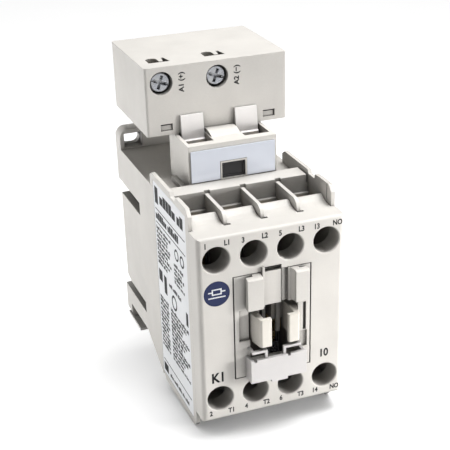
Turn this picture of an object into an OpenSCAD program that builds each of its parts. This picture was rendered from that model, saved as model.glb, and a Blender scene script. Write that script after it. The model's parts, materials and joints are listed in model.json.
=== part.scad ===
// Three-pole DIN rail contactor with one auxiliary contact and a plug-on coil interface module.
// Millimetres. X runs across the poles, +Y points back to the mounting plane at Y = 0, +Z is up
// and Z = 0 is the centre line of the rail. The front face looks along -Y.
// Ranges of coordinates are written [low, high].

/* [Overall] */
// Width across the four poles
body_w = 45; // [44:0.5:48]
// Depth from the mounting plane to the front face
depth = 80.5; // [80:0.5:83]
// Height of the top edge of the mounting plate
plate_top = 38.3; // [37:0.1:40]
// Height of the lower edge of the mounting plate
plate_bottom = -32; // [-34:0.5:-31.5]

/* [Rail and panel mounting] */
// Half height of the recess that takes the 35 mm rail
recess_half = 20; // [19.5:0.1:20.5]
// Depth of the rail seat behind the mounting plane
seat_depth = 3; // [2.5:0.1:3.5]
// Slot spacing across the width
slot_dx = 36; // [35:0.5:37]
// Slot spacing along the height
slot_dz = 60; // [59:0.5:61]
// Height of the upper slots
slot_top_z = 34.6; // [34:0.1:35]
// Slot width, for a 4 mm screw
slot_w = 4.5; // [4:0.1:5]
// Slot length, end to end
slot_l = 6; // [5.5:0.1:6.5]

/* [Front housing] */
// Height of the centre of the front housing above the rail centre
front_z = 0.7; // [0:0.1:1]
// Half height of the front face
face_half = 29.8; // [29.5:0.1:30.5]
// Height of the screwdriver holes above and below the front centre
hole_z = 22.7; // [22:0.1:23]
// Radius of the screwdriver holes
hole_r = 4.05; // [3.8:0.05:4.2]
// Thickness of the phase barriers
fin_t = 1.1; // [0.9:0.1:1.3]

/* [Magnet and contacts] */
// Stroke of the armature
stroke = 4.8; // [4:0.1:4.8]
// Open gap of one contact
contact_gap = 3.6; // [3:0.1:3.6]
// Half height of the iron stacks
stack_half = 7; // [6:0.5:7]

/* [Interface module] */
// Underside of the module
mod_bottom = 46.6; // [46.5:0.1:48]
// Height of the module
mod_h = 20.96; // [20:0.1:24]
// Front of the module
mod_front = -38.84; // [-39:0.1:-38.5]
// Back of the module
mod_back = -3.5; // [-5:0.1:-3]

/* [Hidden] */

$fn = 48;
eps = 0.05;                         // overshoot of a cut
hw = body_w / 2;
pitch = body_w / 4;
poles = [-1.5 * pitch, -0.5 * pitch, 0.5 * pitch, 1.5 * pitch];
barriers = [-pitch, 0, pitch];

// Depths, from the front face back
y_face = -depth;
y_claw = y_face - 4.5;              // front of the carrier claws and of the keeper
y_hook = y_face - 2.6;              // front of the accessory hooks
y_cover = y_face + 6.5;             // seam of the front cover
y_rim = y_face + 13.3;              // raised rim in front of the wire entries
y_wall = y_face + 22.7;             // wall behind the wire entries
y_ledge = y_wall - 1.1;             // seat of the fixed contacts
y_shelf = -51.4;                    // back edge of the raised shelf
y_floor = -49;                      // front of the floor of the arc chambers
y_seam = -41;                       // seam between the two housings
y_slot = -24.5;                     // bottom of the side slots
y_plate = -5.5;                     // front of the mounting plate

// Heights
base_top = 31.7;
shelf_half = 34;                    // half height of the raised shelf, from front_z
side_half = 36;                     // half height of the side plates, from front_z
side_t = 1.2;
chamber_x = 19.7;                   // half width of the magnet chamber
chamber_z = 14.2;                   // half height of the magnet chamber
strip_t = 1.6;                      // thickness of a fixed contact
screw_r = 1.7;

shell_grey = [0.85, 0.84, 0.82];
cream = [0.93, 0.91, 0.85];
iron = [0.45, 0.45, 0.47];
brass_col = [0.80, 0.66, 0.36];
zinc = [0.75, 0.76, 0.78];
silver = [0.88, 0.88, 0.90];

// ---------------------------------------------------------------- helpers

module span(x, y, z)
    translate([x[0], y[0], z[0]]) cube([x[1] - x[0], y[1] - y[0], z[1] - z[0]]);

// Outline in Y and Z, drawn along X
module along_x(x) translate([x[0], 0, 0]) rotate([90, 0, 90]) linear_extrude(x[1] - x[0]) children();

// Outline in X and Z, drawn along Y
module along_y(y) translate([0, y[1], 0]) rotate([90, 0, 0]) linear_extrude(y[1] - y[0]) children();

module rod_y(x, z, y, r) translate([x, y[0], z]) rotate([-90, 0, 0]) cylinder(r = r, h = y[1] - y[0]);

module rod_z(x, y, z, r) translate([x, y, z[0]]) cylinder(r = r, h = z[1] - z[0]);

// Rectangle with round corners from its ranges in the drawing plane
module round_rect(u, v, r) {
    translate([u[0] + r, v[0]]) square([u[1] - u[0] - 2 * r, v[1] - v[0]]);
    translate([u[0], v[0] + r]) square([u[1] - u[0], v[1] - v[0] - 2 * r]);
    for (a = [u[0] + r, u[1] - r], b = [v[0] + r, v[1] - r]) translate([a, b]) circle(r);
}

module rect(u, v) translate([u[0], v[0]]) square([u[1] - u[0], v[1] - v[0]]);

module left_right() for (s = [0, 1]) mirror([s, 0, 0]) children();

// The front housing is drawn about its own centre height
module at_front() translate([0, 0, front_z]) children();

module top_bottom() at_front() for (s = [0, 1]) mirror([0, 0, s]) children();

// Round wire wound about +Z over height h. The outline is a level cut through the wire.
module coil_spring(r, wire, h, turns) {
    pitch = h / turns;
    linear_extrude(h, twist = -360 * turns, slices = 12 * turns, $fn = 8)
        polygon([for (t = [0 : 45 : 315])
            let (rho = r + wire * cos(t), phi = 360 / pitch * wire * sin(t))
            [rho * cos(phi), rho * sin(phi)]]);
}

module spring_y(x, z, y, r, wire, turns)
    translate([x, y[0], z]) rotate([-90, 0, 0]) coil_spring(r, wire, y[1] - y[0], turns);

// ---------------------------------------------------------------- base

module mounting_slots() {
    half = (slot_l - slot_w) / 2;
    for (x = [-slot_dx / 2, slot_dx / 2], z = [slot_top_z - slot_dz, slot_top_z])
        along_y([y_plate - eps, eps]) {
            translate([x - half, z - slot_w / 2]) square([2 * half, slot_w]);
            for (s = [-half, half]) translate([x + s, z]) circle(slot_w / 2);
        }
    // square pockets in front of the upper slots
    for (x = [-slot_dx / 2, slot_dx / 2])
        span([x - slot_l / 2 - 0.1, x + slot_l / 2 + 0.1], [y_plate - eps, -2.6],
            [slot_top_z - slot_w / 2 - 0.1, slot_top_z + slot_w / 2 + 0.1]);
}

// Seat and side slots for the rail, open to the back
module rail_recess()
    along_x([-hw - 1, hw + 1]) {
        rect([-seat_depth, 1], [-recess_half, recess_half]);
        rect([y_slot, 1], [15.7, recess_half]);
        polygon([[y_slot, -recess_half], [1, -recess_half], [1, -15.2], [-3.1, -15.2],
            [-7.2, -16.2], [y_slot, -16.2]]);
    }

module body_screw_axes() for (x = [-15, 15], z = [-hole_z, hole_z]) translate([x, 0, z + front_z]) children();

module base_housing() color(shell_grey) {
    difference() {
        union() {
            along_y([y_plate, 0]) round_rect([-hw, hw], [plate_bottom, plate_top], 3);
            along_x([-hw, hw]) polygon([[-1, base_top], [y_seam, base_top], [y_seam, -34.6],
                [-25, -26.2], [-1, -26.2]]);
            span([-hw, hw], [-15.3, -1], [plate_bottom, plate_bottom + 1]);
        }
        rail_recess();
        mounting_slots();
        span([-chamber_x, chamber_x], [y_seam - eps, -5], [-chamber_z, chamber_z]);
        // passage of the coil leads to the terminal block
        span([-11.2, 11.2], [-33.7, -29.6], [chamber_z - eps, base_top + eps]);
        // pockets in front of the lower slots, open below
        left_right() span([10.6, hw - side_t], [-24, y_plate], [-31.05, -21.2]);
        left_right() span([hw - 2, hw + eps], [-24, y_plate], [-31.05, -26.2]);
        // way of the rail latch
        span([-9.4, 9.4], [-4.7, eps], [plate_bottom - eps, -recess_half + eps]);
        span([-13.2, 13.2], [-24.2, -4.65], [plate_bottom - eps, -26.2]);
        span([-6.6, 6.6], [-12.6, -4.65], [-26.3, -21]);
        body_screw_axes() rod_y(0, 0, [y_seam - eps, -32], 1.3);
    }
    // fixed hook over the upper edge of the rail
    span([-14, 14], [-1.9, 0], [15.9, recess_half + 1]);
    // ledge under the latch spring
    span([-13.3, 13.3], [-12.5, -4.9], [plate_bottom, plate_bottom + 1]);
}

latch_lug = -23.3;                  // underside of the lug on the rail latch

module rail_latch() color(cream) {
    difference() {
        union() {
            span([-9, 9], [-4.4, -2], [-42.7, -recess_half - 0.3]);
            span([-9, 9], [-1.9, 0], [-25, -15.9]);
            span([-9, 9], [-4.4, 0], [-25, -20.3]);
            // lug above the spring
            span([-6, 6], [-12, -4.3], [latch_lug, latch_lug + 1.4]);
        }
        // screwdriver slot in the pull tab
        span([-3.2, 3.2], [-4.5, 0.1], [-40.5, -38.4]);
    }
}

module latch_spring() color(zinc)
    translate([0, -8.6, plate_bottom + 1.02]) coil_spring(2.4, 0.35, latch_lug - plate_bottom - 1.04, 4);

module body_screws() color(zinc) body_screw_axes() difference() {
    union() {
        rod_y(0, 0, [y_floor - 2.1, y_floor - 0.02], 2.4);
        rod_y(0, 0, [y_floor - 0.5, -33], 1.25);
    }
    for (a = [0, 90]) rotate([0, a, 0]) span([-1.5, 1.5], [y_floor - 3, y_floor - 1], [-0.35, 0.35]);
}

// ---------------------------------------------------------------- magnet

leg_front = -21;                    // pole faces of the core
leg_x = [13.2, 18.5];
core_back = -6;

// E shape seen along Z: yoke between y[0] and y[1], legs out to leg_y
module e_iron(yoke, leg_y) {
    lo = min(yoke[0], leg_y);
    hi = max(yoke[1], leg_y);
    span([-leg_x[1], leg_x[1]], yoke, [-stack_half, stack_half]);
    left_right() span(leg_x, [lo, hi], [-stack_half, stack_half]);
    span([-4.6, 4.6], [lo, hi], [-stack_half, stack_half]);
}

module rivets(y) for (x = [-15.8, -2.4, 2.4, 15.8]) rod_z(x, y, [-stack_half - 0.4, stack_half + 0.4], 0.9);

module magnet_core() color(iron) difference() {
    e_iron([-12, core_back], leg_front);
    left_right() span([16.2, 17], [leg_front - eps, -19.5], [-stack_half - eps, stack_half + eps]);
    for (x = [-15.8, -2.4, 2.4, 15.8]) rod_z(x, -9, [-stack_half - eps, stack_half + eps], 0.9);
}

module core_rivets() color(zinc) rivets(-9);

module shading_rings() color([0.78, 0.45, 0.30]) left_right() difference() {
    span([12.45, 16.97], [-20.85, -19.6], [-stack_half - 0.75, stack_half + 0.75]);
    span([13.17, 16.23], [-21, -19.5], [-stack_half - 0.02, stack_half + 0.02]);
}

module core_pads() color([0.15, 0.15, 0.16]) left_right() span([6, 17], [core_back, -5], [-5, 5]);

coil_front = -29.8;

module coil_bobbin() color([0.25, 0.25, 0.27]) difference() {
    union() {
        for (y = [[-13.2, -12.2], [coil_front, coil_front + 1]]) span([-12.3, 12.3], y, [-13.8, 13.8]);
        span([-5.9, 5.9], [coil_front, -12.2], [-8.3, 8.3]);
    }
    span([-4.9, 4.9], [coil_front - eps, -12], [-7.3, 7.3]);
}

module coil_winding() color([0.72, 0.42, 0.22]) along_y([coil_front + 1.05, -13.25]) difference() {
    round_rect([-11.9, 11.9], [-13.2, 13.2], 3);
    rect([-5.95, 5.95], [-8.35, 8.35]);
}

armature_yoke = [-40.6, -34.8];

module armature() color(iron) difference() {
    e_iron(armature_yoke, leg_front - stroke - 0.05);
    for (x = [-15.8, -2.4, 2.4, 15.8]) rod_z(x, -39, [-stack_half - eps, stack_half + eps], 0.9);
    for (x = [-9, 9]) rod_z(x, -37.7, [-stack_half - eps, stack_half + eps], 1.5);
}

module armature_rivets() color(zinc) rivets(-39);

module armature_pins() color(zinc) for (x = [-9, 9]) rod_z(x, -37.7, [-9.3, 9.3], 1.45);

module armature_cushion() color([0.15, 0.15, 0.16]) span([-12, 12], [-42.15, -40.62], [-5, 5]);

module return_springs() color(zinc) for (z = [-11, 11])
    spring_y(0, z, [-42.15, coil_front - 0.05], 2.4, 0.32, 5);

// ---------------------------------------------------------------- contacts

tip_z = 8.6;                        // height of the contact tips from the pole centre
fixed_face = y_ledge - strip_t - 1.2;
bridge_back = fixed_face - contact_gap - 1.2;
bridge_front = bridge_back - 1.2;
window_front = bridge_front - 5.6;
post_front = window_front - 1.5;

claw_mid = 0.56;                    // middle of the pair of claws
claw_z = [-5, 4];

// Plan of the right claw from the middle: a front plate on a stem at its outer side
module claw_plan() polygon([[4.76, post_front + 1], [4.76, y_claw + 1.3], [2.66, y_claw + 1.3],
    [2.66, y_claw + 0.25], [2.91, y_claw], [5.66, y_claw], [6.24, y_claw + 0.8], [7.16, y_claw + 5.5],
    [7.16, post_front + 1]]);

module contact_carrier() color(cream) difference() {
    union() {
        span([-18.8, 18.8], [-46, -42.2], [-13.6, 13.6]);
        at_front() for (x = poles) span([x - 3.7, x + 3.7], [post_front, -45.9], [-3, 3]);
        // arms round the armature
        for (x = [-9, 9], z = [-9.5, 7.1]) span([x - 3, x + 3], [-42.3, -35.6], [z, z + 2.4]);
        // claws that drive a front accessory
        translate([claw_mid, 0, claw_z[0]]) left_right() linear_extrude(claw_z[1] - claw_z[0]) claw_plan();
    }
    at_front() for (x = poles) span([x - 2.6, x + 2.6], [window_front, bridge_back + 0.05], [-4, 4]);
    for (x = [-9, 9]) rod_z(x, -37.7, [-10, 10], 1.5);
}

module moving_contacts() color(brass_col) at_front() for (x = poles) difference() {
    span([x - 2.4, x + 2.4], [bridge_front, bridge_back], [-11, 11]);
    rod_y(x, 0, [bridge_front - eps, bridge_front + 0.4], 0.9);
}

module moving_tips() color(silver) top_bottom() for (x = poles)
    rod_y(x, tip_z, [bridge_back, bridge_back + 1.2], 1.9);

module contact_springs() color(zinc) at_front() for (x = poles)
    spring_y(x, 0, [window_front + 0.05, bridge_front - 0.05], 1.9, 0.28, 3);

module fixed_contacts() color(brass_col) top_bottom() for (x = poles) difference() {
    span([x - 3.6, x + 3.6], [y_ledge - strip_t, y_ledge], [6.5, 27]);
    rod_y(x, hole_z, [y_ledge - strip_t - eps, y_ledge + eps], screw_r + 0.1);
}

module fixed_tips() color(silver) top_bottom() for (x = poles)
    rod_y(x, tip_z, [fixed_face, fixed_face + 1.2], 1.9);

// ---------------------------------------------------------------- wire terminals

// Saddle washer on the screw axis, with its seat at y
module saddle(y, half_x, half_z) difference() {
    span([-half_x, half_x], [y - 1.7, y - 0.05], [-half_z, half_z]);
    span([-half_x + 0.8, half_x - 0.8], [y - 0.75, y], [-half_z - eps, half_z + eps]);
    rod_y(0, 0, [y - 1.8, y], screw_r + 0.2);
}

// Cross-recessed pan head screw on the Y axis, with its head seat at y
module cross_screw(y, head_r, head_h, length) difference() {
    union() {
        rod_y(0, 0, [y - head_h + 0.5, y], head_r);
        translate([0, y - head_h + 0.5, 0]) rotate([90, 0, 0])
            cylinder(r1 = head_r, r2 = head_r - 0.5, h = 0.5);
        rod_y(0, 0, [y - eps, y + length], screw_r);
    }
    for (a = [0, 90]) rotate([0, a + 20, 0]) span([-2.1, 2.1], [y - head_h - eps, y - head_h + 1.3], [-0.45, 0.45]);
    rotate([0, 20, 0]) span([-head_r, head_r], [y - head_h - eps, y - head_h + 0.6], [-0.3, 0.3]);
}

seat_y = y_ledge - strip_t;

// Terminal n: 1 to 4 along the top row from the left, 5 to 8 along the bottom row
module at_terminal(n) translate([poles[(n - 1) % 4], 0, front_z + (n < 5 ? hole_z : -hole_z)]) children();

module clamp(n) color(zinc) at_terminal(n) saddle(seat_y, 3.9, 3.8);

module terminal_screw(n) color(zinc) at_terminal(n) cross_screw(seat_y - 1.75, 3.4, 2.4, 8.2);

// ---------------------------------------------------------------- front housing

module side_profile() difference() {
    polygon([[y_seam, -side_half + 1.9], [y_seam, 31.05], [-38.5, 31.05], [-38.5, 34.2], [-40.4, 35.4],
        [-57.6, 35.5], [-58.2, 34.3], [-62.3, 34.3], [-63, 35.8], [-66, side_half], [y_cover + 2, side_half],
        [y_cover + 0.05, side_half - 2], [y_cover + 0.05, -side_half + 2], [y_cover + 2, -side_half],
        [y_seam - 3, -side_half]]);
    for (s = [-1, 1]) difference() {
        translate([y_cover, s * side_half - (s > 0 ? 2 : 0)]) square([0.05, 2]);
        translate([y_cover + 2, s * (side_half - 2)]) circle(2);
    }
}

module fin_profile() {
    r = 3;
    front = y_cover + 0.5;
    rect([front + r, y_wall + 0.2], [-33.3, 33.3]);
    rect([front, y_wall + 0.2], [-33.3 + r, 33.3 - r]);
    for (s = [-1, 1]) translate([front + r, s * (33.3 - r)]) circle(r);
}

// Clear width of chamber n, from its barriers to the side plates
function chamber(n) = [max(poles[n] - pitch / 2 + fin_t / 2 + 0.05, -hw + side_t),
    min(poles[n] + pitch / 2 - fin_t / 2 - 0.05, hw - side_t)];

module contact_housing() color(shell_grey) at_front() difference() {
    union() {
        span([-hw, hw], [y_wall, y_seam], [-31, 31]);
        span([-hw + eps, hw - eps], [y_wall, y_shelf], [-shelf_half, shelf_half]);
        left_right() along_x([hw - side_t, hw]) side_profile();
        span([-hw + 1, hw - 1], [y_ledge, y_wall + eps], [-28.6, 28.6]);
        for (x = barriers) along_x([x - fin_t / 2, x + fin_t / 2]) fin_profile();
        for (x = barriers) span([x - fin_t / 2 - 0.3, x + fin_t / 2 + 0.3], [y_ledge - 1.2, y_floor], [-28, 28]);
    }
    // space of the carrier plate and of the roots of its posts
    span([-chamber_x, chamber_x], [-47, y_seam + eps], [-front_z - chamber_z, -front_z + chamber_z]);
    span([-21, 21], [-47, y_seam + eps], [-3.5, 3.5]);
    for (n = [0 : 3]) {
        span(chamber(n), [y_wall, y_floor], [-28, 28]);
        span(chamber(n), [y_ledge - eps, y_wall + eps], [-11.5, 11.5]);
        span([poles[n] - 4, poles[n] + 4], [y_floor - eps, -47 + eps], [-3.5, 3.5]);
        for (s = [-1, 1]) rod_y(poles[n], s * hole_z, [y_ledge - eps, y_wall + eps], 2.4);
    }
    translate([0, 0, -front_z]) body_screw_axes() rod_y(0, 0, [y_floor - eps, y_seam + eps], 1.35);
    // gap between the shelf and the right side plate, top and bottom
    for (z = [[31.2, 36], [-36, -31.2]]) span([hw - side_t - 0.5, hw - side_t], [y_wall - eps, y_shelf + eps], z);
    // sockets at the back ends of the barriers
    for (x = barriers, z = [[32.9, 34.1], [-34.1, -32.9]])
        span([x - fin_t / 2, x + fin_t / 2 + 0.7], [y_wall - eps, y_wall + 0.8], z);
    // snap slit in the right side plate
    span([hw - side_t - eps, hw - 0.6], [-71.2, -70.8], [31.2, 35.7]);
    // label recess
    span([-hw - eps, -hw + 0.15], [-71.4, -41.4], [-33.7, 33.5]);
}

module rating_label() color([0.95, 0.95, 0.97])
    at_front() span([-hw + 0.03, -hw + 0.15], [-71.3, -41.5], [-33.6, 33.4]);

// ---------------------------------------------------------------- front cover

panel_x = 12.2;
panel_z = [-16.5, 17.25];
panel_t = 1.8;
open_x = [-7.2, 8];                 // opening of the panel round the claws
open_z = [-12.6, 6.3];

module cover_plan() {
    r = 1.5;
    rect([-hw, hw], [y_face + r, y_cover]);
    rect([-hw + r, hw - r], [y_face, y_cover]);
    for (x = [-hw + r, hw - r]) translate([x, y_face + r]) circle(r);
}

module cover_side() {
    r = 0.8;
    rect([y_face + r, y_cover], [-face_half, face_half]);
    rect([y_face, y_cover], [-face_half + r, face_half - r]);
    for (s = [-1, 1]) translate([y_face + r, s * (face_half - r)]) circle(r);
}

module tongue_profile() polygon([[y_cover + eps, 28.4], [y_rim, 28.4], [y_rim, 31.4], [y_rim - 0.8, 31.4],
    [y_rim - 1.6, 30.9], [y_rim - 2.8, 30.35], [y_rim - 4.4, 30], [y_cover - 1, face_half], [y_cover - 1, 28.4]]);

module front_cover() color(shell_grey) {
    opening_rib();
    cover_shell();
}

module cover_shell() difference() {
    union() {
        intersection() {
            at_front() translate([0, 0, -face_half]) linear_extrude(2 * face_half) cover_plan();
            at_front() along_x([-hw, hw]) cover_side();
        }
        top_bottom() along_x([-hw + side_t + 0.1, hw - side_t - 0.1]) tongue_profile();
    }
    difference() {
        at_front() span([-20.8, 20.8], [y_face + 3, y_cover + 0.1], [-28, 28]);
        top_bottom() for (x = poles) rod_y(x, hole_z, [y_face, y_cover + 0.2], 5.1);
        span([-panel_x - 1.5, panel_x + 1.5], [y_face, y_cover - 2.8], [panel_z[0] - 1, panel_z[1] + 1]);
    }
    top_bottom() for (x = poles) {
        rod_y(x, hole_z, [y_face - eps, y_cover + 0.2], hole_r);
        translate([x, y_face - eps, hole_z]) rotate([-90, 0, 0])
            cylinder(r1 = hole_r + 0.3, r2 = hole_r, h = 0.35);
    }
    // slots that the barriers stand in
    top_bottom() for (x = barriers) {
        span([x - fin_t / 2 - 0.15, x + fin_t / 2 + 0.15], [y_cover + 0.2, y_rim + eps], [28, 32]);
        span([x - fin_t / 2 - 0.15, x + fin_t / 2 + 0.9], [y_cover - 0.1, y_cover + 0.7], [29, 32]);
    }
    // seat of the front panel
    span([-panel_x, panel_x], [y_face - eps, y_face + panel_t + 0.05], panel_z);
    span([-2.4, 2.8], [y_face - eps, y_face + 3.5], [panel_z[1] - eps, panel_z[1] + 1.25]);
    span(open_x, [y_face, y_cover], open_z);
    // badge recess
    rod_y(-17, 13, [y_face - eps, y_face + 0.12], 3.95);
}

// Rib that hangs inside the opening
module opening_rib() {
    span([3.05, 4.15], [y_cover - 3, y_cover - 0.9], [open_z[1] + 0.1, open_z[1] + 1]);
    span([3.05, 4.15], [y_cover - 2, y_cover - 0.9], [-6, open_z[1] + 1]);
}

module front_badge() color([0.20, 0.26, 0.42]) rod_y(-17, 13, [y_face + 0.01, y_face + 0.12], 3.9);

module front_panel() color(shell_grey) {
    gap_x = 0.4;
    gap_z = 0.25;
    difference() {
        span([-panel_x + gap_x, panel_x - gap_x], [y_face, y_face + panel_t],
            [panel_z[0] + gap_z, panel_z[1] - gap_z]);
        span(open_x, [y_face - eps, y_face + panel_t + eps], open_z);
        // tile left of the claws lies deeper
        span([-10.5, -7.2], [y_face - eps, y_face + 0.9], [-4.2, 6.1]);
        // slot and pocket at the right
        span([9.6, 10.6], [y_face - eps, y_face + 1.4], [-4.5, 4.8]);
        span([8.6, 10.9], [y_face - eps, y_face + 0.7], [-10.1, -4.7]);
        span([2.6, 4.9], [y_face - eps, y_face + 1.2], [6.2, 17.2]);
    }
    // hooks for a front accessory, open at the outer sides
    hook([-8.6, -3.8], [-6.4, -3.8]);
    hook([6.3, 10.4], [5.5, 8]);
    // rib beside the left hook, standing proud of the panel and of the cover
    span([-3.4, -2.7], [y_face - 0.9, y_face - 0.03], [open_z[1], 18.9]);
    span([-3.4, -2.7], [y_face - 0.1, y_face + eps], [open_z[1], panel_z[1] - 0.3]);
    // strip standing in the groove
    span([3, 4], [y_face + 0.5, y_face + panel_t - 0.5], [6.5, 16.8]);
}

// Hook with its front plate over range plate and its stem, where it meets the panel, over range root
module hook(plate, root) {
    outer = plate[0] < 0 ? plate[0] : plate[1];
    inner = plate[0] < 0 ? plate[1] : plate[0];
    root_outer = plate[0] < 0 ? root[0] : root[1];
    root_inner = plate[0] < 0 ? root[1] : root[0];
    intersection() {
        linear_extrude(18) polygon([[root_inner, y_face + eps], [inner, y_hook + 1], [inner, y_hook],
            [outer, y_hook], [outer, y_hook + 1.7], [root_outer, y_hook + 1.7], [root_outer, y_face + eps]]);
        along_x([-hw, hw]) polygon([[y_face + eps, 6.6], [y_hook, 6.6], [y_hook, 16.1], [y_hook + 0.4, 16.5],
            [y_face + eps, panel_z[1] - 0.3]]);
    }
}

// Open frame on the top edge of the keeper: a post in the wall, a bar, and an arm back to the panel
module keeper_frame(post, arm) {
    t = 0.8;
    y = [y_claw + 0.8, y_claw + 0.8 + t];
    z = [-7.2, -6.4];
    span([min(post, arm), max(post, arm) + t], y, z);
    span([post, post + t], y, [-9.6, z[1]]);
    span([arm, arm + t], [y[0], y_face], z);
}

module accessory_keeper() color([0.96, 0.95, 0.95]) {
    keeper_frame(-4, -8);
    keeper_frame(1.8, 6.6);
    difference() {
        union() {
            span([-8.7, 8.9], [y_claw, y_claw + 1], [-16.4, -8.9]);
            for (x = [-8.7, 7.9]) span([x, x + 1], [y_claw, y_face], [-16.4, -9.2]);
            span([-8.7, 8.9], [y_claw, y_face], [-16.4, -15.4]);
            span([-2.3, 2.8], [y_claw, y_face - 0.6], [-17.2, -16.3]);
        }
        for (x = [-7.7, 2.9]) span([x, x + 0.9], [y_claw - eps, y_claw + 1.1], [-9.5, -8.8]);
    }
}

// ---------------------------------------------------------------- coil terminal block

block_x = 14;
block_y = [y_shelf + 0.45, -33.3];
block_top = 46.3;

module coil_terminal_block() color(shell_grey) difference() {
    union() {
        span([-block_x, block_x], block_y, [base_top, block_top]);
        span([-10.9, 10.9], [-33.3, -29.9], [13.95, base_top + 1]);
        span([-block_x, block_x], [mod_front, block_y[1]], [block_top - 1, mod_bottom]);
        intersection() {
            translate([0, -41, block_top - 8]) rotate([0, 90, 0])
                cylinder(r = 9.2, h = 9.2, center = true);
            span([-5, 5], [-48, -39], [block_top - 1, block_top + 2]);
        }
        // frame round the sight opening
        span([-sight_x - 0.5, sight_x + 0.5], [y_shelf - 0.1, block_y[0] + eps], [sight_z[0] - 0.3, sight_z[1] + 0.5]);
        // foot rails beside the block
        left_right() span([block_x - eps, block_x + 1.6], [y_shelf + 0.45, -38.5], [base_top, base_top + 1.4]);
    }
    // wells of the two terminals
    left_right() span([5, 12.9], [-48.2, -34.5], [36, mod_bottom + 1]);
    left_right() span([5.5, 10], [-34.6, -31], [36, 42]);
    // sight opening in the front
    span([-sight_x, sight_x], [y_shelf - 1, -46], sight_z);
    // lead channels down to the coil
    for (x = [-8, 6]) span([x, x + 2], [-32.5, -29.8], [13.8, 40]);
}

sight_x = 3.7;                      // half width of the sight opening in the block
sight_z = [35.1, 40];

// Black plug that fills the sight opening, with a shallow dish in its front
module sight_plug() color([0.12, 0.12, 0.13]) difference() {
    span([-sight_x + 0.05, sight_x - 0.05], [y_shelf + 0.5, -46.02], [sight_z[0] + 0.03, sight_z[1] - 0.05]);
    span([-sight_x + 0.6, sight_x - 0.6], [y_shelf, y_shelf + 0.8], [sight_z[0] + 0.6, sight_z[1] - 0.6]);
}

module coil_block_plate() color([0.86, 0.88, 0.94]) along_y([y_shelf, block_y[0] - 0.02]) difference() {
    rect([-13.37, 13.37], [35, 44.7]);
    rect([-sight_x - 0.6, sight_x + 0.6], [34, sight_z[1] + 0.6]);
}

module coil_terminals() color(brass_col) left_right() difference() {
    span([6.2, 11.4], [-44, -35], [36.05, 43]);
    span([7.6, 10], [-44.2, -34.8], [37.4, 44]);
}

// ---------------------------------------------------------------- interface module

mod_top = mod_bottom + mod_h;
mod_wall = 1.6;
mod_screws = [-17.4, 0.1];
mod_screw_z = mod_top - 4.96;
mod_seat = mod_front + 3.24;        // head seat of the module screws

module case_plan(inset) {
    round_rect([-hw + inset, hw - inset], [mod_front + inset, mod_back - inset], inset > 0 ? 0.3 : 0.8);
}

// Half-round wire way with a narrow side notch, cut through the top wall
module wire_way(x) translate([x, 0, mod_top - mod_wall - eps]) linear_extrude(mod_wall + 2 * eps) {
    rect([-1.9, 1.5], [mod_front + 5.2, mod_front + 8.4]);
    translate([-0.2, mod_front + 8.4]) circle(1.7);
    rect([1.4, 2.7], [mod_front + 5.2, mod_front + 5.9]);
    polygon([[2.6, mod_front + 5.2], [4.6, mod_front + 5.2], [3.9, mod_front + 9.6], [3.2, mod_front + 9.6]]);
}

module module_case() color(shell_grey) difference() {
    union() {
        difference() {
            translate([0, 0, mod_bottom]) linear_extrude(mod_h) case_plan(0);
            translate([0, 0, mod_bottom - eps]) linear_extrude(mod_h - mod_wall + eps) case_plan(mod_wall);
        }
        for (x = mod_screws) rod_y(x, mod_screw_z, [mod_front + 1, mod_front + 4.6], 4.2);
    }
    for (x = mod_screws) {
        rod_y(x, mod_screw_z, [mod_front - eps, mod_front + 4.7], 3.5);
        wire_way(x);
    }
    // snap windows in the front and back walls
    for (x = [[-18.2, -14.5], [14.7, 18.6]], y = [mod_front - eps, mod_back - mod_wall - eps])
        span(x, [y, y + mod_wall + 2 * eps], [mod_bottom + 1.3, mod_bottom + 3.4]);
}

module module_floor() color(shell_grey) difference() {
    union() {
        translate([0, 0, mod_bottom]) linear_extrude(1.6) case_plan(mod_wall + 0.05);
        // snap lugs
        for (x = [[-18, -14.7], [14.9, 18.4]]) {
            span(x, [mod_front + 0.5, mod_front + 2.6], [mod_bottom + 1.4, mod_bottom + 2.9]);
            span(x, [mod_back - 2.6, mod_back - 0.5], [mod_bottom + 1.4, mod_bottom + 2.9]);
        }
    }
    for (x = [-8.8, 8.8]) span([x - 0.5, x + 0.5], [-37, -35.5], [mod_bottom - eps, mod_bottom + 3]);
}

// Insulating tongues that hang in front of the module into the wells of the terminal block
module plug_tabs() color(cream)
    for (x = [[-12.2, -5.1], [5.2, 12.3]]) along_x(x)
        polygon([[mod_front - 0.1, 52.2], [mod_front - 0.9, 52.2], [-40.6, 44.9], [-41.3, 44.6], [-41.3, 43.4],
            [-39.6, 43.4], [mod_front - 0.1, 48]]);

module plug_blades() color(brass_col) for (x = [-8.8, 8.8])
    span([x - 0.4, x + 0.4], [-36.9, -35.6], [38.5, mod_bottom + 2.6]);

board_z = mod_bottom + 3.6;

module module_board() color([0.16, 0.42, 0.24]) span([-20, 20], [-36.5, -6], [board_z, board_z + 1.6]);

module module_relay() color([0.18, 0.18, 0.20]) {
    span([5, 19], [-25, -8], [board_z + 1.6, board_z + 10.6]);
    for (x = [8, 12, 16]) span([x, x + 1], [-27, -25.5], [board_z + 1.6, board_z + 3]);
}

module module_capacitor() color([0.20, 0.24, 0.34]) rod_z(-6, -14, [board_z + 1.6, board_z + 11], 4);

term_y = mod_seat + 4.4;            // front of the module terminal plates

module module_terminals() color(brass_col) for (x = mod_screws) difference() {
    span([x - 3.4, x + 3.4], [term_y, term_y + 1.6], [board_z + 1.6, mod_top - mod_wall - 1.2]);
    rod_y(x, mod_screw_z, [term_y - eps, term_y + 1.6 + eps], screw_r + 0.1);
}

module module_clamp(n) color(zinc) translate([mod_screws[n], 0, mod_screw_z]) saddle(term_y, 3.2, 3);

module module_screw(n) color(zinc) translate([mod_screws[n], 0, mod_screw_z]) cross_screw(mod_seat, 3.2, 2, 8.6);

// ---------------------------------------------------------------- nodes

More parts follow.
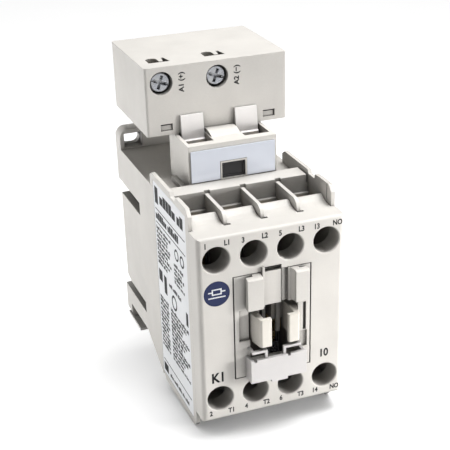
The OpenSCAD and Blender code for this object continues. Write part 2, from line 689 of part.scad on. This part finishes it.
base_housing();
contact_housing();
front_cover();
front_panel();
accessory_keeper();
rating_label();
front_badge();
rail_latch();
latch_spring();
body_screws();
magnet_core();
core_rivets();
shading_rings();
core_pads();
coil_bobbin();
coil_winding();
coil_terminal_block();
coil_block_plate();
coil_terminals();
sight_plug();
armature();
armature_rivets();
armature_pins();
armature_cushion();
contact_carrier();
return_springs();
contact_springs();
moving_contacts();
moving_tips();
fixed_contacts();
fixed_tips();
for (n = [1 : 8]) {
    clamp(n);
    terminal_screw(n);
}
module_case();
module_floor();
plug_tabs();
plug_blades();
module_board();
module_relay();
module_capacitor();
module_terminals();
module_clamp(0);  // module_clamp_a1
module_clamp(1);  // module_clamp_a2
module_screw(0);  // module_screw_a1
module_screw(1);  // module_screw_a2
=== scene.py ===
"""Looks of a DIN rail contactor with its plug-on coil module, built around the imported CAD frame.

Lengths are metres in the frame's own axes: +X across the poles, +Y back to the mounting plane, +Z up.
"""

import json
import math
import random

import bpy
import bmesh
from mathutils import Matrix, Vector


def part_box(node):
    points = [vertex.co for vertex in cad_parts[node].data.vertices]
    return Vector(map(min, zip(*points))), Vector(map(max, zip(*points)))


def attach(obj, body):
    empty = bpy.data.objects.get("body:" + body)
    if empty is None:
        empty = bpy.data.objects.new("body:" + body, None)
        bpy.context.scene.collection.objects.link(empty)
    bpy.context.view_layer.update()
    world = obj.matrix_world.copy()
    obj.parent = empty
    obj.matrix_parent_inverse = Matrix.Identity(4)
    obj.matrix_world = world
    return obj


MM = 0.001
PRINT_DEPTH = 0.02 * MM  # thickness of an ink layer
INK_LIFT = 0.004 * MM  # gap between an ink layer and the surface under it
CAPITAL_SHARE = 0.69  # height of the built-in face's capitals over its size
LETTER_BOLD = 0.045  # how far the strokes are thickened, over the height of the capitals

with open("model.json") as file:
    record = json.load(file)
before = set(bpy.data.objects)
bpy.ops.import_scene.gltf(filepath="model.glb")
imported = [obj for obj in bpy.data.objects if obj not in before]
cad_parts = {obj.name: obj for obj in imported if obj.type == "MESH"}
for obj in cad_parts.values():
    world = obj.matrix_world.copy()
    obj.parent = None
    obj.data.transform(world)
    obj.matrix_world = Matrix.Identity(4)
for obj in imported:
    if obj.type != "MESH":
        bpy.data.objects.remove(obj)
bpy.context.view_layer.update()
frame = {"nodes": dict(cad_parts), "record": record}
nodes = frame["nodes"]


# ---------------------------------------------------------------- shader helpers

class Graph:
    """One material and the short calls that add nodes to it."""

    def __init__(self, name):
        self.material = bpy.data.materials.new(name)
        self.material.use_nodes = True
        self.tree = self.material.node_tree
        self.bsdf = self.tree.nodes["Principled BSDF"]
        self.place = self.add("ShaderNodeTexCoord").outputs["Object"]

    def add(self, kind, settings=None, **inputs):
        """A new node with its settings and its inputs, which are values or other sockets."""
        made = self.tree.nodes.new(kind)
        for key, value in (settings or {}).items():
            setattr(made, key, value)
        for key, value in inputs.items():
            self.feed(made.inputs[key.replace("_", " ")], value)
        return made

    def feed(self, socket, value):
        """Links a socket into an input, or sets the input to a value."""
        if isinstance(value, bpy.types.NodeSocket):
            self.tree.links.new(value, socket)
        else:
            socket.default_value = value

    def noise(self, size, detail=2.0, stretch=(1, 1, 1)):
        """Noise from 0 to 1 whose features are about size across, stretched along the axes."""
        place = self.add("ShaderNodeMapping", Vector=self.place, Scale=[1 / s for s in stretch])
        made = self.add("ShaderNodeTexNoise", Vector=place.outputs[0], Scale=1 / size, Detail=detail)
        return made.outputs[0]

    def spread(self, value, low, high, start=0.3, end=0.7):
        """value between start and end, mapped to low and high."""
        made = self.add("ShaderNodeMapRange", Value=value,
                        From_Min=start, From_Max=end, To_Min=low, To_Max=high)
        return made.outputs[0]

    def math(self, operation, a, b):
        """Two values joined by an arithmetic operation."""
        made = self.add("ShaderNodeMath", {"operation": operation})
        self.feed(made.inputs[0], a)
        self.feed(made.inputs[1], b)
        return made.outputs[0]

    def mix(self, factor, a, b, blend="MIX"):
        """Two colours mixed by factor."""
        made = self.add("ShaderNodeMix", {"data_type": "RGBA", "blend_type": blend})
        sockets = [s for s in made.inputs if s.type == "RGBA"]
        self.feed(made.inputs[0], factor)
        self.feed(sockets[0], a)
        self.feed(sockets[1], b)
        return [s for s in made.outputs if s.type == "RGBA"][0]

    def shade(self, body, value):
        """A colour multiplied by a value."""
        grey = self.add("ShaderNodeCombineColor", Red=value, Green=value, Blue=value)
        return self.mix(1.0, body, grey.outputs[0], "MULTIPLY")

    def soft_normal(self, radius):
        """Surface normal with the edges rounded at a radius."""
        return self.add("ShaderNodeBevel", {"samples": 4}, Radius=radius).outputs[0]

    def edges(self, normal):
        """1 along the edges that soft_normal rounds, 0 on flats."""
        true = self.add("ShaderNodeNewGeometry").outputs["True Normal"]
        dot = self.add("ShaderNodeVectorMath", {"operation": "DOT_PRODUCT"})
        self.feed(dot.inputs[0], normal)
        self.feed(dot.inputs[1], true)
        return self.spread(dot.outputs["Value"], 1.0, 0.0, 0.75, 0.99)

    def crevice(self, distance):
        """1 on open surfaces, less where other surfaces within distance close them in."""
        made = self.add("ShaderNodeAmbientOcclusion", {"samples": 4}, Distance=distance)
        return made.outputs["AO"]

    def painted_shade_in_hollows(self, body, *scales):
        """A colour darkened as painted shade where other surfaces close it in. Each scale is (reach, loss,
        crevice value closed, and open).
        """
        for reach, loss, closed, clear in scales:
            body = self.shade(body, self.spread(self.crevice(reach), 1 - loss, 1.0, closed, clear))
        return body

    def bump(self, height, depth, normal):
        """The normal tilted by a height pattern of a given depth."""
        made = self.add("ShaderNodeBump", Strength=1.0, Distance=depth, Height=height, Normal=normal)
        return made.outputs[0]

    def finish(self, colour, roughness, normal, **inputs):
        """Sets the surface shader's inputs and returns the material."""
        self.feed(self.bsdf.inputs["Base Color"], colour)
        self.feed(self.bsdf.inputs["Roughness"], roughness)
        self.feed(self.bsdf.inputs["Normal"], normal)
        for key, value in inputs.items():
            self.feed(self.bsdf.inputs[key.replace("_", " ")], value)
        return self.material


def rgba(colour, gain=1.0):
    """An opaque colour, made lighter or darker by gain."""
    return tuple(min(1.0, c * gain) for c in colour) + (1.0,)


# ---------------------------------------------------------------- materials

def moulded(name, colour, rough=0.46, grain=0.4 * MM, depth=0.012 * MM, crease_shade=0.35, hollow_shade=0.58):
    """Injection-moulded plastic: mottled tone, spark-eroded grain, rubbed edges lightened partly as wear and
    partly as a painted highlight, and painted shade in creases and recesses.
    """
    g = Graph(name)
    soft = g.soft_normal(0.2 * MM)
    clouds = g.spread(g.noise(14 * MM, 3), 0, 1)
    specks = g.spread(g.noise(0.25 * MM, 1), 0.975, 1.02)
    flow = g.spread(g.noise(5 * MM, 2, (1, 1, 4)), 0.985, 1.01)
    # edges lightened: partly wear, partly a painted highlight
    wear_and_highlight = g.math("MULTIPLY", g.edges(soft), g.spread(g.noise(2.5 * MM, 3), 0.1, 0.6))
    body = g.mix(clouds, rgba(colour, 0.955), rgba(colour, 1.03))
    body = g.shade(g.shade(body, specks), flow)
    body = g.mix(wear_and_highlight, body, rgba(colour, 1.14))
    # painted shade: darker in creases, in recesses, and under and between parts, at three reaches
    body = g.painted_shade_in_hollows(body, (3 * MM, crease_shade, 0.25, 0.85), (12 * MM, hollow_shade, 0.15, 0.7), (30 * MM, 0.3, 0.2, 0.6))
    patches = g.spread(g.noise(3 * MM, 3), rough - 0.05, rough + 0.07)
    gloss = g.math("SUBTRACT", patches, g.math("MULTIPLY", wear_and_highlight, 0.12))
    return g.finish(body, gloss, g.bump(g.noise(grain, 2), depth, soft))


def metal(name, colour, second, rough=0.3, stretch=(1, 1, 1), depth=0.008 * MM):
    """Plated or bare metal with drifting tint, drawn scratches, rubbed edges lightened partly as wear and
    partly as a painted highlight, and painted shade in creases and recesses.
    """
    g = Graph(name)
    soft = g.soft_normal(0.15 * MM)
    scratch = g.noise(0.18 * MM, 3, stretch)
    # edges lightened: partly wear, partly a painted highlight
    wear_and_highlight = g.math("MULTIPLY", g.edges(soft), 0.6)
    body = g.mix(g.spread(g.noise(1.6 * MM, 3), 0, 1), rgba(colour), rgba(second))
    body = g.shade(body, g.spread(scratch, 0.88, 1.05))
    body = g.mix(wear_and_highlight, body, rgba(colour, 1.25))
    # painted shade: darker in creases and in big recesses
    body = g.painted_shade_in_hollows(body, (1.2 * MM, 0.5, 0.2, 0.8), (14 * MM, 0.85, 0.0, 0.35))
    gloss = g.spread(g.noise(0.9 * MM, 3), rough - 0.08, rough + 0.12)
    return g.finish(body, gloss, g.bump(scratch, depth, soft), Metallic=1.0)


def striped(name, colour, dark, pitch, axis, metallic, rough, depth):
    """Stacked sheets or wound wire: even stripes along an axis, with drifting tone."""
    g = Graph(name)
    soft = g.soft_normal(0.15 * MM)
    settings = {"wave_type": "BANDS", "bands_direction": axis, "wave_profile": "SIN"}
    bands_at_scale_1 = 20 / (2 * math.pi)  # what the wave node draws per unit
    wave = g.add("ShaderNodeTexWave", settings, Vector=g.place, Scale=1 / pitch / bands_at_scale_1)
    body = g.mix(wave.outputs["Fac"], rgba(dark), rgba(colour))
    body = g.shade(body, g.spread(g.noise(4 * MM, 3), 0.85, 1.1))
    gloss = g.spread(g.noise(0.8 * MM, 2), rough - 0.06, rough + 0.1)
    return g.finish(body, gloss, g.bump(wave.outputs["Fac"], depth, soft), Metallic=metallic)


def film(name, colour, rough, coat):
    """Printed film or gloss plate: faint waves, handling smears and a clear coat."""
    g = Graph(name)
    soft = g.soft_normal(0.1 * MM)
    body = g.mix(g.spread(g.noise(9 * MM, 2), 0, 1), rgba(colour, 0.97), rgba(colour, 1.02))
    # painted shade: darker in creases and next to other surfaces
    body = g.painted_shade_in_hollows(body, (2 * MM, 0.25, 0.25, 0.85))
    smear = g.spread(g.noise(2.2 * MM, 4, (1, 1, 3)), rough - 0.04, rough + 0.1)
    normal = g.bump(g.noise(3 * MM, 1), 0.01 * MM, soft)
    return g.finish(body, smear, normal, Coat_Weight=coat, Coat_Roughness=0.08)


def ink(name, colour):
    """Pad-printed ink with slightly uneven cover."""
    g = Graph(name)
    cover = g.spread(g.noise(0.3 * MM, 3), 0, 1)
    body = g.mix(cover, rgba(colour, 0.85), rgba(colour, 1.25))
    gloss = g.spread(g.noise(0.5 * MM, 2), 0.42, 0.6)
    normal = g.bump(g.noise(0.2 * MM, 2), 0.004 * MM, g.soft_normal(0.02 * MM))
    return g.finish(body, gloss, normal, Specular_IOR_Level=0.2)


IRON, IRON_GAP = (0.36, 0.36, 0.37), (0.16, 0.16, 0.17)
COPPER, COPPER_GAP = (0.70, 0.30, 0.13), (0.30, 0.10, 0.04)
ZINC, ZINC_BLUE = (0.88, 0.89, 0.90), (0.72, 0.75, 0.82)
MATERIALS = {
    "shell": moulded("shell_plastic", (0.715, 0.690, 0.650)),
    "ivory": moulded("ivory_plastic", (0.84, 0.80, 0.725), rough=0.4),
    "white": moulded("white_plastic", (0.72, 0.70, 0.69), rough=0.42),
    "label": film("label_film", (0.90, 0.91, 0.93), 0.38, 0.15),
    "badge": film("badge_print", (0.008, 0.017, 0.085), 0.46, 0.05),
    "plate": film("gloss_plate", (0.75, 0.79, 0.88), 0.16, 0.8),
    "zinc": metal("zinc_plate", ZINC, ZINC_BLUE, rough=0.22, stretch=(4, 1, 1), depth=0.012 * MM),
    "iron": striped("laminated_iron", IRON, IRON_GAP, 0.5 * MM, "Z", 1.0, 0.45, 0.03 * MM),
    "copper": striped("enamelled_copper", COPPER, COPPER_GAP, 0.25 * MM, "Y", 0.8, 0.3, 0.06 * MM),
    "brass": metal("bright_brass", (0.78, 0.58, 0.28), (0.70, 0.50, 0.26), rough=0.28, stretch=(1, 1, 5)),
    "silver": metal("silver_tip", (0.80, 0.80, 0.80), (0.70, 0.70, 0.68), rough=0.35),
    "bobbin": moulded("bobbin_plastic", (0.045, 0.045, 0.05), rough=0.5),
    "rubber": moulded("black_rubber", (0.022, 0.022, 0.024), rough=0.75, grain=0.3 * MM, depth=0.03 * MM),
    "board": film("board_mask", (0.03, 0.16, 0.07), 0.3, 0.4),
    "relay": moulded("relay_case", (0.03, 0.03, 0.034), rough=0.35),
    "can": film("capacitor_sleeve", (0.06, 0.09, 0.15), 0.3, 0.4),
}
# a paler copy of the shell plastic with less painted shade; its extra lightness is painted light on the tabs
TABS_PAINTED_LIGHTER = moulded("tab_plastic_painted_lighter", (0.97, 0.94, 0.92), rough=0.4, crease_shade=0.15, hollow_shade=0.2)
BLACK_INK = ink("black_ink", (0.014, 0.014, 0.016))
WHITE_INK = ink("white_ink", (0.75, 0.76, 0.78))


def paint_cad_nodes():
    """Gives every CAD node the material of its slot in the record, but to the plug tabs a paler copy whose
    extra lightness is painted light.
    """
    slots = {part["node"]: part["material_slot"] for part in frame["record"]["subparts"]}
    for name, obj in nodes.items():
        obj.data.materials.clear()
        obj.data.materials.append(TABS_PAINTED_LIGHTER if name == "plug_tabs" else MATERIALS[slots[name]])


# ---------------------------------------------------------------- flat printed shapes

def facing(right, up, origin):
    """Matrix that takes drawing (u, v) to origin + u * right + v * up, with its normal towards the viewer."""
    right, up = Vector(right), Vector(up)
    turned = Matrix((right, up, right.cross(up))).transposed().to_4x4()
    return Matrix.Translation(origin) @ turned


class Sheet:
    """Printed shapes on one plane, gathered in one mesh. Drawing units are metres."""

    def __init__(self, name, plane, material):
        self.name, self.plane, self.material = name, plane, material
        self.mesh = bmesh.new()

    def outline(self, points):
        """A filled outline, drawn anticlockwise, as a thin solid."""
        low = [self.mesh.verts.new((u, v, INK_LIFT)) for u, v in points]
        high = [self.mesh.verts.new((u, v, PRINT_DEPTH)) for u, v in points]
        self.mesh.faces.new(high)
        self.mesh.faces.new(low[::-1])
        for i in range(len(points)):
            j = (i + 1) % len(points)
            self.mesh.faces.new((low[i], low[j], high[j], high[i]))

    def bar(self, u, v, width, height):
        """A rectangle from its lower left corner."""
        self.outline([(u, v), (u + width, v), (u + width, v + height), (u, v + height)])

    def frame(self, u, v, width, height, line):
        """A rectangle's outline with its line inside."""
        self.bar(u, v, width, line)
        self.bar(u, v + height - line, width, line)
        self.bar(u, v + line, line, height - 2 * line)
        self.bar(u + width - line, v + line, line, height - 2 * line)

    def ring(self, u, v, outer, inner, steps=40):
        """A ring of short four-sided solids."""
        angles = [2 * math.pi * i / steps for i in range(steps + 1)]
        at = [(math.cos(a), math.sin(a)) for a in angles]
        for (c0, s0), (c1, s1) in zip(at, at[1:]):
            self.outline([(u + inner * c0, v + inner * s0), (u + outer * c0, v + outer * s0),
                          (u + outer * c1, v + outer * s1), (u + inner * c1, v + inner * s1)])

    def text(self, words, u, v, height, stretch=1.0, turn=0.0):
        """Centred lettering in the plain built-in face, with capitals of a given height."""
        curve = bpy.data.curves.new("words", "FONT")
        curve.body = words
        curve.align_x, curve.align_y = "CENTER", "CENTER"
        curve.size = height / CAPITAL_SHARE
        curve.extrude = (PRINT_DEPTH - INK_LIFT) / 2
        curve.offset = LETTER_BOLD * height
        curve.resolution_u = 4
        holder = bpy.data.objects.new("words", curve)
        bpy.context.scene.collection.objects.link(holder)
        solved = holder.evaluated_get(bpy.context.evaluated_depsgraph_get())
        flat = bpy.data.meshes.new_from_object(solved)
        place = Matrix.Translation((u, v, (PRINT_DEPTH + INK_LIFT) / 2))
        flat.transform(place @ Matrix.Rotation(turn, 4, "Z") @ Matrix.Diagonal((stretch, 1, 1, 1)))
        self.mesh.from_mesh(flat)
        bpy.data.objects.remove(holder)
        bpy.data.meshes.remove(flat)
        bpy.data.curves.remove(curve)

    def done(self):
        """Makes the object, which rides on the housing."""
        bmesh.ops.remove_doubles(self.mesh, verts=self.mesh.verts, dist=0.0005 * MM)
        made = bpy.data.meshes.new(self.name)
        self.mesh.to_mesh(made)
        self.mesh.free()
        made.transform(self.plane)
        made.materials.append(self.material)
        piece = bpy.data.objects.new(self.name, made)
        bpy.context.scene.collection.objects.link(piece)
        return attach(piece, "housing")


# ---------------------------------------------------------------- markings

def front_markings():
    """Generic terminal numbers at the eight screw holes, the device letters and the contact code."""
    low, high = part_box("front_cover")
    centre_z = (low.z + high.z) / 2
    pitch = (high.x - low.x) / 4
    hole_z = 22.7 * MM  # height of the screw holes over the cover's centre
    sheet = Sheet("front_markings", facing((1, 0, 0), (0, 0, 1), (0, low.y, centre_z)), BLACK_INK)
    above = [("1", "L1"), ("3", "L2"), ("5", "L3"), ("13", "NO")]
    below = [("2", "T1"), ("4", "T2"), ("6", "T3"), ("14", "NO")]
    letter, narrow = 1.55 * MM, 0.85
    for row, side in ((above, 1), (below, -1)):
        for i, (number, name) in enumerate(row):
            x = (i - 1.5) * pitch
            sheet.text(number, x - 3.1 * MM, side * (hole_z + 4.75 * MM), letter, narrow)
            sheet.text(name, x + 3.4 * MM, side * (hole_z + 4.9 * MM), letter, narrow)
    sheet.text("K1", -17.3 * MM, -15.5 * MM, 3.1 * MM, narrow)
    sheet.text("10", 16.5 * MM, -14.8 * MM, 2.5 * MM, narrow)
    return sheet.done()


def module_markings():
    """Upright terminal names beside the two module screws."""
    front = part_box("module_case")[0].y
    sheet = Sheet("module_markings", facing((1, 0, 0), (0, 0, 1), (0, front, 0)), BLACK_INK)
    for screw, words in (("module_screw_a1", "A1 (+)"), ("module_screw_a2", "A2 (−)")):
        a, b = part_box(screw)
        x = (a.x + b.x) / 2 + 6.25 * MM
        sheet.text(words, x, (a.z + b.z) / 2 - 0.25 * MM, 1.5 * MM, 1.05, math.pi / 2)
    return sheet.done()


def badge_symbol():
    """White coil symbol on the badge: a box with a lead at each side, over a line."""
    low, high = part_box("front_badge")
    middle = (low + high) / 2
    sheet = Sheet("badge_symbol", facing((1, 0, 0), (0, 0, 1), (middle.x, low.y, middle.z)), WHITE_INK)
    half, line = 1.5 * MM, 0.38 * MM
    sheet.frame(-half, -0.35 * MM, 2 * half, 1.9 * MM, line)
    sheet.bar(-half - 1.1 * MM, 0.4 * MM, 1.1 * MM, line)
    sheet.bar(half, 0.4 * MM, 1.1 * MM, line)
    sheet.bar(-2.6 * MM, -1.35 * MM, 5.2 * MM, line)
    return sheet.done()


def filler_words(sheet, rng, u, v, width, height, bold=1.0):
    """A line of unreadable filler: word-like groups of small upright bars, thicker where bold is over 1."""
    at = u
    while at < u + width - height:
        for _ in range(rng.randint(2, 7)):
            stroke = height * rng.uniform(0.38, 0.6) * bold
            if at + stroke > u + width:
                return
            rise = height * rng.choice((0.7, 0.7, 1.0))
            sheet.bar(at, v, stroke, rise)
            at += stroke + height * 0.11 / bold
        at += height * 0.38


def label_print():
    """Generic rating label: blocks, rules and filler lines in place of any real wording."""
    low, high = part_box("rating_label")
    width, height = high.y - low.y, high.z - low.z
    plane = facing((0, -1, 0), (0, 0, 1), (low.x, high.y, low.z))
    sheet = Sheet("label_print", plane, BLACK_INK)
    rng = random.Random(11)
    edge, rule = 1.2 * MM, 0.32 * MM
    small, row = 1.15 * MM, 1.45 * MM  # height and pitch of the small lines
    top = height - edge
    inner = width - 2 * edge

    # heading
    sheet.bar(edge, top - 5.4 * MM, 3.0 * MM, 5.4 * MM)
    filler_words(sheet, rng, edge + 4.6 * MM, top - 4.4 * MM, inner - 4.6 * MM, 3.6 * MM, 1.5)
    sheet.bar(edge, top - 7.4 * MM, inner, rule)
    filler_words(sheet, rng, edge, top - 10.6 * MM, inner - 3 * MM, 2.5 * MM, 1.3)
    sheet.bar(edge, top - 11.9 * MM, inner, rule)

    # upper block of small lines, with two rings at its right
    for i in range(9):
        v = top - 14.0 * MM - i * row
        filler_words(sheet, rng, edge, v, 13.5 * MM - (i % 3) * 1.5 * MM, small)
        if i > 3:
            filler_words(sheet, rng, edge + 16 * MM, v, 9.5 * MM - (i % 2) * 2 * MM, small)
    for u in (19 * MM, 24 * MM):
        sheet.ring(edge + u, top - 15.2 * MM, 1.9 * MM, 1.25 * MM)

    # three dark blocks and a ring across the middle
    middle = top - 31.5 * MM
    sheet.bar(edge, middle, 3.4 * MM, 3.8 * MM)
    sheet.bar(edge + 5 * MM, middle - 2.6 * MM, 2.6 * MM, 6.2 * MM)
    sheet.bar(inner - 0.6 * MM, middle - 3.6 * MM, 1.8 * MM, 4.4 * MM)
    sheet.ring(edge + 14.5 * MM, middle - 1.8 * MM, 2.5 * MM, 1.75 * MM)
    filler_words(sheet, rng, edge + 10 * MM, middle + 2 * MM, 12 * MM, 1.3 * MM)

    # lower block of small lines in two columns
    for i in range(13):
        v = middle - 6.2 * MM - i * row
        filler_words(sheet, rng, edge, v, 8.5 * MM, small)
        filler_words(sheet, rng, edge + 10.5 * MM, v, inner - 10.5 * MM - (i % 4) * 2 * MM, small)

    # foot
    sheet.bar(edge, 5.2 * MM, inner, rule)
    sheet.bar(edge, 1.2 * MM, 4.2 * MM, 3.0 * MM)
    filler_words(sheet, rng, edge + 6 * MM, 1.6 * MM, inner - 7 * MM, 1.3 * MM)
    return sheet.done()


# ---------------------------------------------------------------- studio

def floor():
    """Pale floor that dips under the pull tab, so that the part rests on its front corners."""
    rear, front = -47.2 * MM, -35.6 * MM  # heights of the two level parts
    start, end = 4 * MM, -70 * MM  # where the slope between them starts and ends
    steps = 24
    side = 1.5  # half the floor's width
    mesh = bmesh.new()
    rows = []
    for y in [side] + [start + (end - start) * i / steps for i in range(steps + 1)] + [-side]:
        share = min(1.0, max(0.0, (start - y) / (start - end)))
        z = rear + (front - rear) * share * share * (3 - 2 * share)
        rows.append([mesh.verts.new((x, y, z)) for x in (-side, side)])
    for a, b in zip(rows, rows[1:]):
        mesh.faces.new((a[0], b[0], b[1], a[1]))
    made = bpy.data.meshes.new("floor")
    mesh.to_mesh(made)
    mesh.free()
    made.shade_smooth()
    made.materials.append(floor_paper())
    piece = bpy.data.objects.new("floor", made)
    bpy.context.scene.collection.objects.link(piece)


def floor_paper():
    """Pale paper with a glow that keeps it white in view. The glow fades where the part stands near, which
    paints a shadow around the part.
    """
    g = Graph("floor_paper")
    dark, light = (0.56, 0.56, 0.56), (0.60, 0.60, 0.60)
    tone = g.mix(g.spread(g.noise(60 * MM, 2), 0, 1), rgba(dark), rgba(light))
    normal = g.bump(g.noise(0.6 * MM, 2), 0.01 * MM, g.add("ShaderNodeNewGeometry").outputs["Normal"])
    seen = g.spread(g.add("ShaderNodeLightPath").outputs["Is Camera Ray"], 0.1, 0.8, 0, 1)
    # painted shadow: these two terms dim the glow close to the part and, more faintly, farther around it
    near = g.spread(g.crevice(12 * MM), 0.0, 1.0, 0.2, 0.8)
    wide = g.spread(g.crevice(50 * MM), 0.6, 1.0, 0.6, 0.95)
    glow = g.math("MULTIPLY", seen, g.math("MULTIPLY", near, wide))
    return g.finish(tone, 0.8, normal, Emission_Color=(1, 1, 1, 1), Emission_Strength=glow)


def softbox(name, place, target, size, power, colour=(1, 1, 1), spread=180):
    """Square area light at place, turned to target. Both are in millimetres, and spread is in degrees."""
    data = bpy.data.lights.new(name, "AREA")
    data.shape, data.size, data.energy, data.color = "SQUARE", size * MM, power, colour
    data.spread = math.radians(spread)
    lamp = bpy.data.objects.new(name, data)
    lamp.location = Vector(place) * MM
    lamp.rotation_euler = (Vector(target) - Vector(place)).to_track_quat("-Z", "Y").to_euler()
    bpy.context.scene.collection.objects.link(lamp)


def studio():
    """White surroundings, a near key softbox, a wide one overhead, one behind and a weak one low down."""
    scene = bpy.context.scene
    world = bpy.data.worlds.new("studio")
    world.use_nodes = True
    tree = world.node_tree
    lit, seen = 0.16, 1.0  # brightness of the white surroundings as a light, and as the backdrop in view
    strength = tree.nodes.new("ShaderNodeMapRange")
    strength.inputs["To Min"].default_value, strength.inputs["To Max"].default_value = lit, seen
    path = tree.nodes.new("ShaderNodeLightPath")
    tree.links.new(path.outputs["Is Camera Ray"], strength.inputs["Value"])
    tree.links.new(strength.outputs[0], tree.nodes["Background"].inputs["Strength"])
    tree.nodes["Background"].inputs["Color"].default_value = (1.0, 1.0, 1.0, 1.0)
    scene.world = world
    softbox("key_right", (185, -205, 30), (0, -90, -16), 80, 0.084, (1.0, 0.99, 0.98), 70)
    softbox("overhead", (90, -90, 440), (0, -40, 20), 220, 2.2)
    softbox("left_behind", (-350, 200, 10), (0, -30, 10), 200, 1.25)
    softbox("low_left", (-220, -330, 0), (0, -80, -25), 160, 0.13)
    scene.view_settings.view_transform = "Standard"


def camera():
    """Camera at the reference angle, from above and from the left of the front."""
    azimuth, elevation, roll = math.radians(19.93), math.radians(26.4), math.radians(-1.69)
    target, distance = Vector((0, -40, 0)) * MM, 346.58 * MM
    back = Vector((-math.sin(azimuth) * math.cos(elevation), -math.cos(azimuth) * math.cos(elevation),
                   math.sin(elevation)))
    level = Vector((0, 0, 1)).cross(back).normalized()
    upright = back.cross(level)
    right = math.cos(roll) * level + math.sin(roll) * upright
    up = math.cos(roll) * upright - math.sin(roll) * level
    data = bpy.data.cameras.new("camera")
    data.lens, data.sensor_width = 85.79, 36.0
    data.shift_x, data.shift_y = 0.0029, 0.0908
    data.clip_start, data.clip_end = 0.01, 10
    made = bpy.data.objects.new("camera", data)
    turned = Matrix((right, up, back)).transposed().to_4x4()
    made.matrix_world = Matrix.Translation(target + back * distance) @ turned
    bpy.context.scene.collection.objects.link(made)
    bpy.context.scene.camera = made


paint_cad_nodes()
front_markings()
module_markings()
badge_symbol()
label_print()
floor()
studio()
camera()
